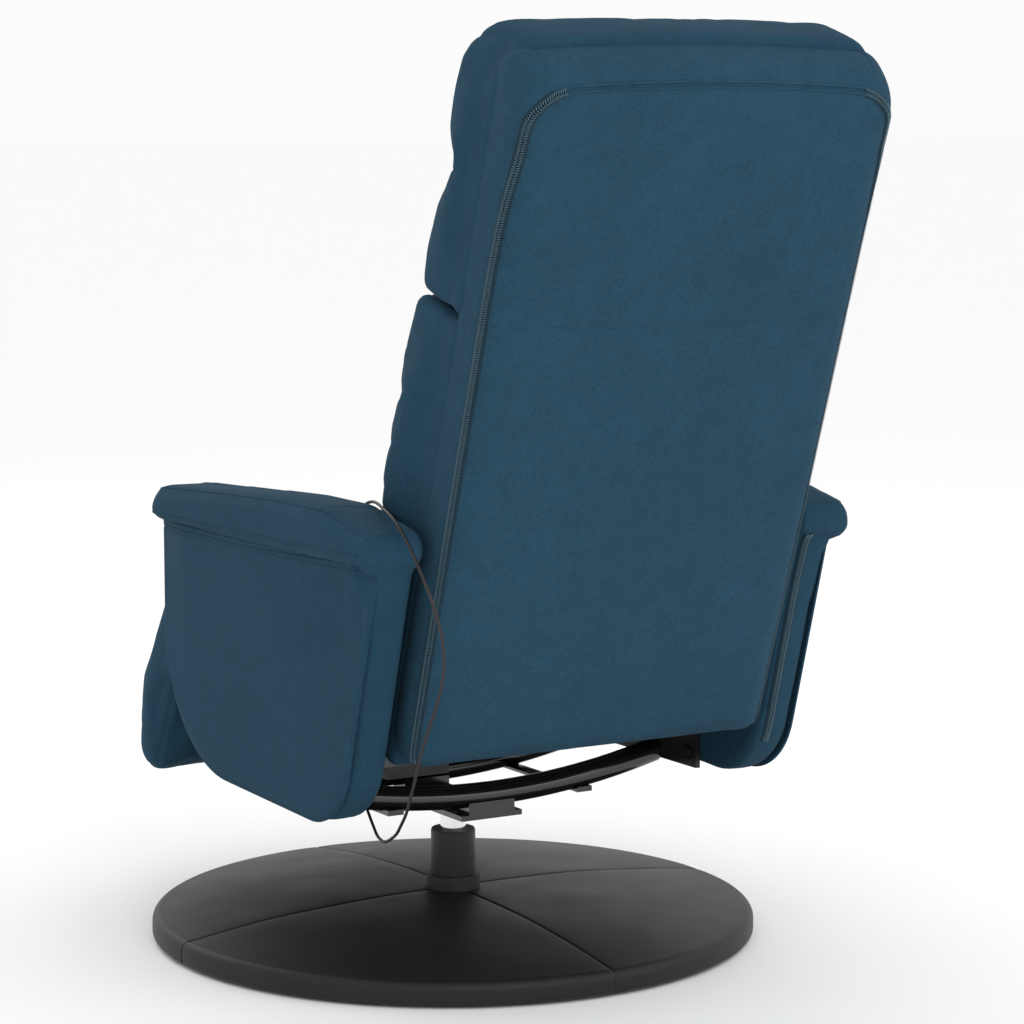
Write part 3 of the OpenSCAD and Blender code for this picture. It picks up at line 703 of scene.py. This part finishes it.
def make_disc():
    """The foot's cover: a crown turned round the swivel axis, with four sewn seams where it dips towards a
    radial line, and a side wall that rounds under."""
    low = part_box("base_cover")[0].z
    rim, top = 0.030, 0.051
    edge = 0.011
    seams = np.arange(4) * np.pi / 2
    fine = np.concatenate([s + np.array([-3, -2, -1, -0.5, 0, 0.5, 1, 2, 3]) * 0.004 for s in seams])
    theta = np.unique(np.round(np.concatenate([np.linspace(0, 2 * np.pi, 240, endpoint=False),
                                               fine % (2 * np.pi)]), 5))
    s = np.linspace(0, 1, 46)
    r_top = COLLAR_R - 0.006 + (DISC_R - edge - COLLAR_R + 0.006) * s
    z_top = rim + (top - rim) * (1 - s**2.3)
    turn = np.linspace(0, np.pi / 2, 9)[1:]
    r_edge = DISC_R - edge + edge * np.sin(turn)
    z_edge = rim - edge + edge * np.cos(turn)
    r_low = DISC_R - 0.006 * (1 - np.cos(turn))
    z_low = low + 0.006 - 0.006 * np.sin(turn)
    r = np.concatenate([r_top, r_edge, [DISC_R], r_low, [DISC_R - 0.02]])
    z = np.concatenate([z_top, z_edge, [low + 0.008], z_low, [low]])
    r, z, th = r[:, None], z[:, None], theta[None, :]
    off = np.abs((th + np.pi / 4) % (np.pi / 2) - np.pi / 4) * r
    dip = 0.0011 * bell(off, 0.0016) + 0.0005 * bell(off, 0.012)
    reach = np.sin(np.pi * np.clip((r - 0.05) / 0.29, 0, 1))
    swell = reach * (0.0006 * np.sin(2 * th) ** 2 + 0.0005 * np.sin(7 * th + 1) * np.sin(11 * r / DISC_R))
    outer = np.clip((r - (DISC_R - edge)) / edge, 0, 1)
    p = np.stack([(r - dip * outer) * np.cos(th), (r - dip * outer) * np.sin(th),
                  z + (swell - dip) * (1 - outer) * (z > 0.012)], -1)
    cover = clean(make("foot_cover", p.reshape(-1, 3), capped_faces(*p.shape[:2])))
    return finish_piece(cover, "foot", "coated cloth", "base_vinyl", "base_cover", "base_foam")


def make_back_shell():
    """The rear shell: a rounded block whose top slopes up towards the front and falls at its corners, its
    rear face crowned by a sine across and up it."""
    b = settings().back
    depth = 0.074

    def warp(x, y, z):
        share = (z + 1) / 2
        v = depth * (y - 1) / 2
        rise = np.clip(-v / 0.045, 0, 1) ** 0.6
        top = b.panel + (b.top - 0.009 - b.panel) * rise - arch(x, 0.026 - 0.022 * rise)
        w = -0.006 + share * (top + 0.006)
        u = x * half_width(share * b.panel)
        crown = 0.006 * np.cos(np.pi * x / 2) * np.sin(np.pi * share) * np.clip(y, 0, 1)
        return lean(u, v + crown, w).T

    shell = block("back_panel", (0.456, depth, 0.757), 0.021, warp, 0.010)
    inflate(shell, 0.005, 0.003, smooth=3)
    arch_line = welt_line(0.0)

    def seams(co):
        u, v, w = unlean(co)
        across = 0.0013 * bell(w - 0.499, 0.0024) * (v > -0.012)
        side = ease((-v - 0.015) / 0.02)
        dent = GROOVE_DEPTH * side * bell(v - GROOVE_AT, GROOVE_WIDTH)
        end = 0.0012 * bell(np.abs(u) - 0.198, 0.0026) * (w > 0.745) * (v < -0.012)
        return across + dent + end + 0.0020 * bell(distance_to(arch_line, co), 0.0030)

    crease(shell, seams)
    # The rear shell takes the body fabric painted a little lighter, as painted light
    return finish_piece(shell, "back", "panel fabric", "fabric_panel", "back_shell")


def corner_line():
    """The rounded corner of the rear panel: up one side, over the arch and down the other."""
    b = settings().back
    rise = np.linspace(0.004, 0.690, 60)
    a = np.linspace(-1, 1, 81)
    side = half_width(rise) - 0.003 - 0.009 * ease((rise - 0.60) / 0.10)
    top = b.panel - 0.006 - arch(a)
    u = np.concatenate([side, side[-1] * a[::-1], -side[::-1]])
    w = np.concatenate([rise, top[::-1], rise[::-1]])
    v = -0.004 - 0.008 * (1 - ease((w - 0.55) / 0.17)) * (np.abs(u) > 0.19)
    return rounded(lean(u, v, w), 0.004, 14)


def welt_line(drop):
    """The part of the corner over the panel's top, moved down its lean by a drop."""
    line = corner_line()
    u, v, w = unlean(line)
    top = line[(np.abs(u) < 0.199) & (w > 0.6)]
    return top - (lean(0, 0, 1.0) - lean(0, 0, 0.0)) * drop


# Fronts of the back's two cushions: heights up its lean, then places through it
BACK_FRONT = (
    [-0.030, 0.020, 0.090, 0.160, 0.240, 0.310, 0.356, 0.403, 0.427, 0.452, 0.477, 0.489],
    [-0.102, -0.139, -0.156, -0.167, -0.173, -0.172, -0.169, -0.165, -0.160, -0.154, -0.148, -0.143],
)
HEAD_FRONT = (
    [0.489, 0.510, 0.528, 0.582, 0.626, 0.668, 0.691, 0.715, 0.745, 0.775, 0.800],
    [-0.138, -0.144, -0.147, -0.147, -0.143, -0.146, -0.144, -0.141, -0.135, -0.126, -0.108],
)


# Soft groove where the rear shell meets the cushions: its place through the back, its width and depth
GROOVE_AT, GROOVE_WIDTH, GROOVE_DEPTH = -0.078, 0.013, 0.0030


def front_cushion(name, w0, w1, profile, radius, top_fall):
    """A back cushion: a rounded block whose front follows a profile up the back."""

    def warp(x, y, z):
        share = (z + 1) / 2
        w = w0 + share * (w1 - w0 - top_fall * arch(x, 0.042))
        front = np.interp(w, *profile)
        v = -0.044 + (front + 0.044) * (1 - y) / 2
        u = x * (half_width(w) + 0.0005)
        return lean(u, v, w).T

    return block(name, (0.45, 0.11, 1.8 * (w1 - w0)), radius, warp, 0.012)


def make_back_cushions():
    b = settings().back
    for name, w0, w1, profile, nodes, channels in (
        ("lower_back_cushion", -0.022, 0.4880, BACK_FRONT, "back_cushion", (0.245,)),
        ("headrest", 0.4895, b.top, HEAD_FRONT, "headrest_cushion", (0.626,)),
    ):
        cushion = front_cushion(name, w0, w1, profile, 0.014, 1.0 if name == "headrest" else 0.0)

        def give(co):
            u, v, w = unlean(co)
            ends = np.minimum(np.abs(w - w0), np.abs(w - w1))
            return (0.25 + 0.55 * ease((-v - 0.07) / 0.05)) * (0.5 + 0.5 * ease(ends / 0.03))

        inflate(cushion, 0.005, 0.012, give)

        def seams(co):
            u, v, w = unlean(co)
            front = ease((-v - 0.085) / 0.03)
            cut = sum(0.004 * bell(w - c, 0.005) + 0.003 * bell(w - c, 0.018) for c in channels)
            edge = bell(np.abs(u) - (half_width(w) - 0.018), 0.0028) * 0.0018
            pucker = 0.0008 * np.sin(u * 260) * sum(bell(w - c, 0.03) for c in channels)
            side = GROOVE_DEPTH * bell(v - GROOVE_AT, GROOVE_WIDTH) * ease((np.abs(u) - 0.20) / 0.02)
            return front * (cut + edge + pucker) + side

        crease(cushion, seams)
        finish_piece(cushion, "back", "body fabric", "fabric_body", nodes)


def make_zip(name, surface, path, bend):
    """A coil zip laid along a path: a dark tape bent to the corner under it, and two rows of slanted
    teeth."""
    path, normal = lay_on(surface, path, 0.0006)
    tape = ribbon("zip_tape_" + name, path, normal, 0.0125, 0.0008, bend)
    teeth = [links("teeth", path + normal * 0.0007, normal, 0.0026, (0.0045, 0.0013, 0.0014), turn, shift)
             for turn, shift in ((np.radians(60), 0.0020), (np.radians(120), -0.0020))]
    teeth = join(*teeth)
    teeth.name = "zip_teeth_" + name
    return tape, teeth


def make_back_trim():
    """The zips up both corners of the rear panel and the piping over its top."""
    shell = bpy.data.objects["back_panel"]
    line = corner_line()
    u, v, w = unlean(line)
    for side, sign in SIDES:
        path = line[(u * sign > 0) & ((np.abs(u) > 0.180) | (w < 0.6))]
        path = path if path[0, 2] < path[-1, 2] else path[::-1]
        tape, teeth = make_zip("back_" + side, shell, path, 0.016)
        finish_piece(tape, "back", "thread", "fabric_body")
        finish_piece(teeth, "back", "zip teeth", "grey_plastic")
    for name, drop in (("back_piping_upper", -0.0040), ("back_piping_lower", 0.0035)):
        path, normal = lay_on(shell, welt_line(drop), 0.0003)
        piping = tube(name, path, 0.0014, normal=normal, flat=0.8)
        # The piping takes the panel's lighter fabric, which holds painted light
        finish_piece(piping, "back", "panel fabric", "fabric_panel")


def make_seat():
    """The seat cushion: a rounded block with a nose over the footrest's upper end, its front pulled back
    round that end by the circle's own formula."""
    clear = 0.038 + 0.0055
    rear, nose = SEAT_HIGH[1] - 0.002, SEAT_LOW[1] + 0.006
    low, high = SEAT_LOW[2] + 0.002, SEAT_HIGH[2] - 0.006
    fy, fz = FOOT_HINGE[1], FOOT_HINGE[2]

    def warp(x, y, z):
        height = low + (z + 1) / 2 * (high - low)
        curve = fy + np.sqrt(np.maximum(clear**2 - (height - fz) ** 2, 0))
        under = np.where(height < fz, fy + clear, curve)
        front = np.where(height > fz + clear, nose, under)
        front = np.where(height > fz + clear, front + 0.012 * ((height - 0.410) / 0.03) ** 2, front)
        depth = front + (y + 1) / 2 * (rear - front)
        crown = 0.004 * (1 - x**2) * (1 - y**2) * (z > 0)
        return x * 0.221, depth, height + crown

    seat = block("seat_pad", (0.44, 0.46, high - low), 0.022, warp, 0.010)

    def give(co):
        top = ease((co[:, 2] - 0.40) / 0.02)
        return 0.12 + 0.5 * top * (co[:, 1] > -0.27)

    inflate(seat, 0.0055, 0.012, give)
    co = points_of(seat)
    flat = ease(1.6 - np.hypot((co[:, 0] - 0.150) / 0.045, (co[:, 1] - 0.030) / 0.095)) * (co[:, 2] > 0.4)
    co[:, 2] += flat * (SEAT_HIGH[2] - 0.0003 - co[:, 2])
    co[:, 2] = np.minimum(co[:, 2], SEAT_HIGH[2] + 0.009)
    near = np.hypot(co[:, 1] - fy, co[:, 2] - fz)
    push = np.maximum(0, 0.0405 / np.maximum(near, 1e-6) - 1) * (near < 0.0405)
    co[:, 1] += (co[:, 1] - fy) * push
    co[:, 2] += (co[:, 2] - fz) * push
    set_points(seat, co)

    def seams(c):
        top = ease((c[:, 2] - 0.405) / 0.015)
        cut = 0.006 * bell(c[:, 1] + 0.12, 0.006) + 0.005 * bell(c[:, 1] + 0.12, 0.02)
        side = 0.0018 * bell(np.abs(c[:, 0]) - 0.206, 0.0025)
        return top * (cut + side)

    crease(seat, seams)
    finish_piece(seat, "seat", "body fabric", "fabric_body", "seat_cushion")


def foot_at(t, n):
    """A point t along the footrest from its hinge and n behind its middle plane, in (y, z)."""
    return (FOOT_HINGE[1] - 0.416 * t + 0.910 * n, FOOT_HINGE[2] - 0.910 * t - 0.416 * n)


def make_footrest():
    """The footrest: a slab whose outline is the hull of its round upper end, its full middle and its
    lower end, with slots behind for the two hangers."""
    circles = [(*foot_at(0, 0), 0.0365), (*foot_at(0.105, -0.010), 0.0430), (*foot_at(0.186, -0.003), 0.0310)]
    pad = slab("footrest_cushion", circles, -0.2300, 0.2300, 0.018)

    def give(co):
        hinge = np.hypot(co[:, 1] - FOOT_HINGE[1], co[:, 2] - FOOT_HINGE[2])
        return 0.1 + 0.9 * ease((hinge - 0.05) / 0.05)

    inflate(pad, 0.005, 0.006, give, smooth=5)

    def seams(co):
        side = 0.0016 * bell(np.abs(co[:, 0]) - 0.220, 0.0025)
        return side

    crease(pad, seams)
    start = np.array(foot_at(-0.0046, -0.0215))
    wedge = [start] + [np.array(start) + np.array(foot_at(r * np.cos(a), r * np.sin(a))) - FOOT_HINGE[1:]
                       for r, a in ((0.11, np.radians(28)), (0.15, np.radians(78)), (0.11, np.radians(128)))]
    for sign in (1, -1):
        x = np.array([0.134, 0.158]) * sign
        points = [(xx, *p) for xx in x for p in wedge]
        faces = [[0, 1, 2, 3], [7, 6, 5, 4]] + [[i, (i + 1) % 4, 4 + (i + 1) % 4, 4 + i] for i in range(4)]
        cutter = clean(make("cutter", points, faces, smooth=False))
        cut = pad.modifiers.new("slot", "BOOLEAN")
        cut.operation, cut.object, cut.solver = "DIFFERENCE", cutter, "EXACT"
        settle(pad)
        bpy.data.objects.remove(cutter)
    finish_piece(pad, "footrest", "body fabric", "fabric_body", "footrest_pad")


def pad_line(y):
    """Height at which an arm's top pad lies on its board."""
    return 0.486 + (y + 0.152) * 0.02


ARM_CIRCLES = [(-0.012, 0.362, 0.162), (0.190, 0.288, 0.094), (-0.160, 0.470, 0.012),
               (0.330, 0.486, 0.014)]


def make_arms():
    """An arm: a board slab, a boxy top roll and a rear that joins them, remeshed into one form and
    padded; its outer side stays flat where the pocket lies on it."""
    inner, outer = ARM_LOW[0], ARM_HIGH[0]
    board = slab("arm_left", ARM_CIRCLES, inner + 0.0005, outer, 0.013)
    roll = [(y, pad_line(y) + r, r) for y, r in ((-0.144, 0.0215), (-0.02, 0.0245), (0.15, 0.0265),
                                                 (0.250, 0.0255))] + [(0.336, 0.505, 0.0235)]
    top = slab("roll", roll, PAD_LOW[0] + 0.002, PAD_HIGH[0] - 0.004, 0.015)
    upper_tail = slab("tail", [(0.330, 0.502, 0.022), (0.326, 0.484, 0.021)], inner + 0.001, 0.302, 0.018)
    lower_tail = slab("tail", [(0.322, 0.476, 0.021), (0.306, 0.420, 0.018)], inner + 0.001, 0.2885, 0.014)
    arm = join(board, top, upper_tail, lower_tail)

    def give(co):
        return 0.15 + 0.85 * ease((co[:, 0] - inner - 0.004) / 0.01)

    inflate(arm, 0.005, 0.004, give, smooth=9)
    co = points_of(arm)
    low = co[:, 2] < 0.485
    co[low, 0] = np.maximum(co[low, 0], inner + 0.0004)
    covered = (co[:, 2] < pad_line(co[:, 1]) - 0.004) & (co[:, 1] < 0.342)
    co[covered, 0] = np.minimum(co[covered, 0], outer + 0.0004)
    set_points(arm, co)

    def seams(c):
        y = c[:, 1]
        cross = 0.0010 * bell(y - 0.262 + 0.35 * (c[:, 0] - 0.25), 0.0024) * (c[:, 2] > pad_line(y) + 0.04)
        return cross + 0.0016 * bell(distance_to(top_edge_seam(), c), 0.0022)

    crease(arm, seams)
    right = mirrored(arm, "arm_right")
    for obj, (side, _) in zip((arm, right), SIDES):
        finish_piece(obj, "seat", "body fabric", "fabric_body", "arm_board_" + side, "arm_pad_" + side)


def top_edge_seam():
    """The sewn line along an arm pad's outer top edge."""
    y = np.linspace(-0.166, 0.346, 80)
    z = pad_line(y) + 0.043 + 0.006 * ease((y + 0.15) / 0.2) - 0.022 * ease((y - 0.24) / 0.12)
    return np.column_stack([np.full_like(y, PAD_HIGH[0] - 0.010), y, z])


POCKET_SEAM_Y = 0.311


def hem_line(y):
    """Height of a pocket's upper edge: a little under the top pad, rising towards the rear."""
    return pad_line(y) - 0.0022 - 0.0015 * bell(y - 0.07, 0.13) + 0.002 * ease((y - POCKET_SEAM_Y) / 0.04)


def pocket_side(y, z):
    """How far out a pocket's wall stands from its arm: it swells from its sewn edges, opens most along
    the upper edge, and is drawn back to the arm behind its rear seam, over a width that grows upwards."""
    hem = hem_line(y)
    reach = 0.002 + 0.030 * np.clip((z - 0.433) / 0.06, 0, 1)
    behind = np.clip((y - POCKET_SEAM_Y) / reach, 0, 1)
    along = ease((y + 0.172) / 0.09) * (1 - behind)
    start = 0.290 + 0.143 * ease((y - 0.12) / 0.19)
    high = np.clip((z - start) / (hem - start), 0, 1) ** 1.3
    wave = 1 + 0.12 * np.sin((y - 0.02) * 21) * (1 - behind)
    return 0.0150 * along * high * wave - 0.0035 * np.sin(np.pi * behind) * high


def make_pockets():
    """A side pocket: a sheet over the arm's outer side, from the arm's lower outline to its own hem, with
    rows close together below the hem and columns close together at its rear seam."""
    outer = ARM_HIGH[0]
    front, rear = -0.1722, 0.3415
    t = np.linspace(0, 1, 110)
    y = np.sort(np.concatenate([front + (rear - front) * (t - 0.11 * np.sin(2 * np.pi * t)),
                                POCKET_SEAM_Y + np.linspace(-0.010, 0.006, 17)]))
    outline = hull_line(ARM_CIRCLES, 0.003, 1440)
    under = outline[720:]
    low = np.interp(y, under[:, 0], under[:, 1])
    hem = hem_line(y)
    near = np.concatenate([np.arange(14) * 0.001, [0.0145, 0.017]])[:, None]
    near = near * np.clip((hem - low) / 0.06, 0.02, 1)
    s = np.linspace(0, 1, 40)[1:, None]
    z = np.concatenate([hem - near, (hem - near[-1]) + (low - hem + near[-1]) * s])
    yy = np.broadcast_to(y, z.shape)
    edge = np.minimum(z - low, np.minimum(yy - front, rear - yy) * 1.5)
    x = outer + 0.0008 + 0.0028 * ease(edge / 0.014) + pocket_side(yy, z)
    drop = hem - z
    x -= 0.0009 * bell(drop - 0.0085, 0.0010)
    for seam in (POCKET_SEAM_Y, POCKET_SEAM_Y - 0.006):
        x -= 0.0008 * bell(yy - seam, 0.0011) * ease((z - 0.40) / 0.03)
    sheet = make("pocket_left", np.stack([x, yy, z], -1).reshape(-1, 3), grid_faces(*z.shape))
    clean(sheet)
    if normals_of(sheet)[:, 0].mean() < 0:
        sheet.data.flip_normals()
    thick = sheet.modifiers.new("thick", "SOLIDIFY")
    thick.thickness, thick.offset = 0.0024, -1.0
    settle(sheet)
    right = mirrored(sheet, "pocket_right")
    for obj, (side, _) in zip((sheet, right), SIDES):
        finish_piece(obj, "seat", "body fabric", "fabric_body", "arm_pocket_" + side)


def make_arm_trim():
    """Welts along the arm pads' edges and pocket hems, and a zip up each arm's rear."""
    arm = bpy.data.objects["arm_left"]
    pocket = bpy.data.objects["pocket_left"]
    path, normal = lay_on(arm, top_edge_seam(), 0.0002)
    edge_welt = tube("pad_welt_left", path, 0.0009, normal=normal, flat=0.7)
    y = np.linspace(-0.169, 0.340, 150)
    z = hem_line(y)
    hem = np.column_stack([ARM_HIGH[0] + 0.0020 + pocket_side(y, z), y, z])
    hem_welt = tube("hem_welt_left", hem, 0.0016)
    roll_line = np.column_stack([np.full_like(y, PAD_HIGH[0]), y, pad_line(y) + 0.0065])
    path, normal = lay_on(arm, roll_line, 0.0)
    roll_welt = tube("roll_welt_left", path, 0.0013, normal=normal, flat=0.8)
    line = np.column_stack([np.full_like(y, PAD_HIGH[0]), y, z - 0.0062])
    path, normal = lay_on(pocket, line[4:-8], 0.0)
    stitches = links("hem_stitches_left", path, normal, 0.0042, (0.0030, 0.0007, 0.0005))
    for obj, look in ((edge_welt, "body fabric"), (hem_welt, "body fabric"), (roll_welt, "body fabric"),
                      (stitches, "thread")):
        other = mirrored(obj, obj.name.replace("left", "right"))
        for piece in (obj, other):
            finish_piece(piece, "seat", look, "fabric_body")
    make_arm_zips()


def make_arm_zips():
    """The covers' zips: up the right arm's rear, and round the corner on the left arm's inner side."""
    z = np.linspace(0.240, 0.490, 80)
    outline = hull_line(ARM_CIRCLES, 0.0, 1440)
    back_edge = outline[(outline[:, 0] > 0.19)]
    back_edge = back_edge[np.argsort(back_edge[:, 1])]
    rear = np.interp(z, back_edge[:, 1], back_edge[:, 0])
    inner = ARM_LOW[0]
    for side, sign, x, step in (("right", -1, inner + 0.014, 0.004), ("left", 1, inner - 0.002, -0.022)):
        line = np.column_stack([np.full_like(z, x * sign), rear + step, z])
        tape, teeth = make_zip("arm_" + side, bpy.data.objects["arm_" + side], line, 0.5)
        finish_piece(tape, "seat", "thread", "fabric_body")
        finish_piece(teeth, "seat", "zip teeth", "grey_plastic")


def make_stage():
    """Floor, soft lights and the camera."""
    s = settings().stage
    far = 60
    corners = [(-far, -far, 0), (far, -far, 0), (far, far, 0), (-far, far, 0)]
    floor = make("floor", corners, [[0, 1, 2, 3]], smooth=False)
    paint = bpy.data.materials.new("floor")
    paint.use_nodes = True
    shader = paint.node_tree.nodes["Principled BSDF"]
    shader.inputs["Base Color"].default_value = (*s.floor, 1)
    shader.inputs["Roughness"].default_value = 0.9
    floor.data.materials.append(paint)
    world = bpy.data.worlds.new("studio")
    world.use_nodes = True
    world.node_tree.nodes["Background"].inputs["Color"].default_value = (1, 1, 1, 1)
    world.node_tree.nodes["Background"].inputs["Strength"].default_value = s.sky
    bpy.context.scene.world = world
    bpy.context.scene.view_settings.view_transform = "Standard"
    for name, place, aim, size, power in (
        ("key", (0.6, 4.2, 2.6), (0, 0.2, 0.5), 2.2, s.key),
        ("fill", (-2.6, 2.6, 1.6), (0, 0.3, 0.5), 2.4, s.key * 0.45),
        ("front", (0.5, -3.2, 2.6), (0, 0, 0.5), 2.4, s.key * 0.5),
    ):
        data = bpy.data.lights.new(name, "AREA")
        data.energy, data.size = power, size
        lamp = bpy.data.objects.new(name, data)
        bpy.context.scene.collection.objects.link(lamp)
        lamp.location = place
        lamp.rotation_euler = (Vector(aim) - Vector(place)).to_track_quat("-Z", "Y").to_euler()
    data = bpy.data.cameras.new("camera")
    data.lens, data.sensor_width = s.lens, 36
    camera = bpy.data.objects.new("camera", data)
    bpy.context.scene.collection.objects.link(camera)
    camera.location = (1.883, 3.267, 0.968)
    camera.rotation_euler = Vector((-0.5110, -0.8504, -0.1256)).to_track_quat("-Z", "Y").to_euler()
    bpy.context.scene.camera = camera


def finish_frame():
    """Gives every frame node that still shows its material."""
    for look, names in FRAME_FINISHES.items():
        for name in names:
            slots = frame["nodes"][name].data.materials
            slots.clear()
            slots.append(bpy.data.materials[look])


# ---- operators ----


class RECLINER_OT_stage(bpy.types.Operator):
    """Make the materials, floor, lights and camera"""

    bl_idname = "recliner.stage"
    bl_label = "Stage"

    def execute(self, context):
        make_materials()
        make_stage()
        return {"FINISHED"}


class RECLINER_OT_cord(bpy.types.Operator):
    """Make the handset's cord"""

    bl_idname = "recliner.cord"
    bl_label = "Cord"

    def execute(self, context):
        make_cord()
        return {"FINISHED"}


class RECLINER_OT_foot(bpy.types.Operator):
    """Make the disc foot's cover"""

    bl_idname = "recliner.foot"
    bl_label = "Foot"

    def execute(self, context):
        make_disc()
        return {"FINISHED"}


class RECLINER_OT_back(bpy.types.Operator):
    """Make the back's panel, cushions, zips and piping"""

    bl_idname = "recliner.back"
    bl_label = "Back"

    def execute(self, context):
        make_back_shell()
        make_back_cushions()
        make_back_trim()
        return {"FINISHED"}


class RECLINER_OT_seat(bpy.types.Operator):
    """Make the seat cushion"""

    bl_idname = "recliner.seat"
    bl_label = "Seat"

    def execute(self, context):
        make_seat()
        return {"FINISHED"}


class RECLINER_OT_footrest(bpy.types.Operator):
    """Make the footrest's cushion"""

    bl_idname = "recliner.footrest"
    bl_label = "Footrest"

    def execute(self, context):
        make_footrest()
        return {"FINISHED"}


class RECLINER_OT_arms(bpy.types.Operator):
    """Make the arms, their pockets, welts and zips"""

    bl_idname = "recliner.arms"
    bl_label = "Arms"

    def execute(self, context):
        make_arms()
        make_pockets()
        make_arm_trim()
        return {"FINISHED"}


class RECLINER_OT_finishes(bpy.types.Operator):
    """Give the metal and plastic parts their finishes"""

    bl_idname = "recliner.finishes"
    bl_label = "Finishes"

    def execute(self, context):
        finish_frame()
        return {"FINISHED"}


OPERATORS = [
    RECLINER_OT_stage,
    RECLINER_OT_cord,
    RECLINER_OT_foot,
    RECLINER_OT_back,
    RECLINER_OT_seat,
    RECLINER_OT_footrest,
    RECLINER_OT_arms,
    RECLINER_OT_finishes,
]


class RECLINER_PT_pieces(bpy.types.Panel):
    """Lists the recliner's pieces"""

    bl_label = "Recliner"
    bl_space_type = "VIEW_3D"
    bl_region_type = "UI"
    bl_category = "Recliner"

    def draw(self, context):
        for made in OPERATORS:
            self.layout.operator(made.bl_idname)


CLASSES = [ReclinerFabric, ReclinerBack, ReclinerStage, ReclinerSettings, *OPERATORS, RECLINER_PT_pieces]


def register():
    for made in CLASSES:
        bpy.utils.register_class(made)
    bpy.types.Scene.recliner = PointerProperty(type=ReclinerSettings)


def unregister():
    del bpy.types.Scene.recliner
    for made in reversed(CLASSES):
        bpy.utils.unregister_class(made)


def main():
    register()
    for made in OPERATORS:
        getattr(bpy.ops.recliner, made.bl_idname.split(".")[1])()


if __name__ == "__main__":
    main()
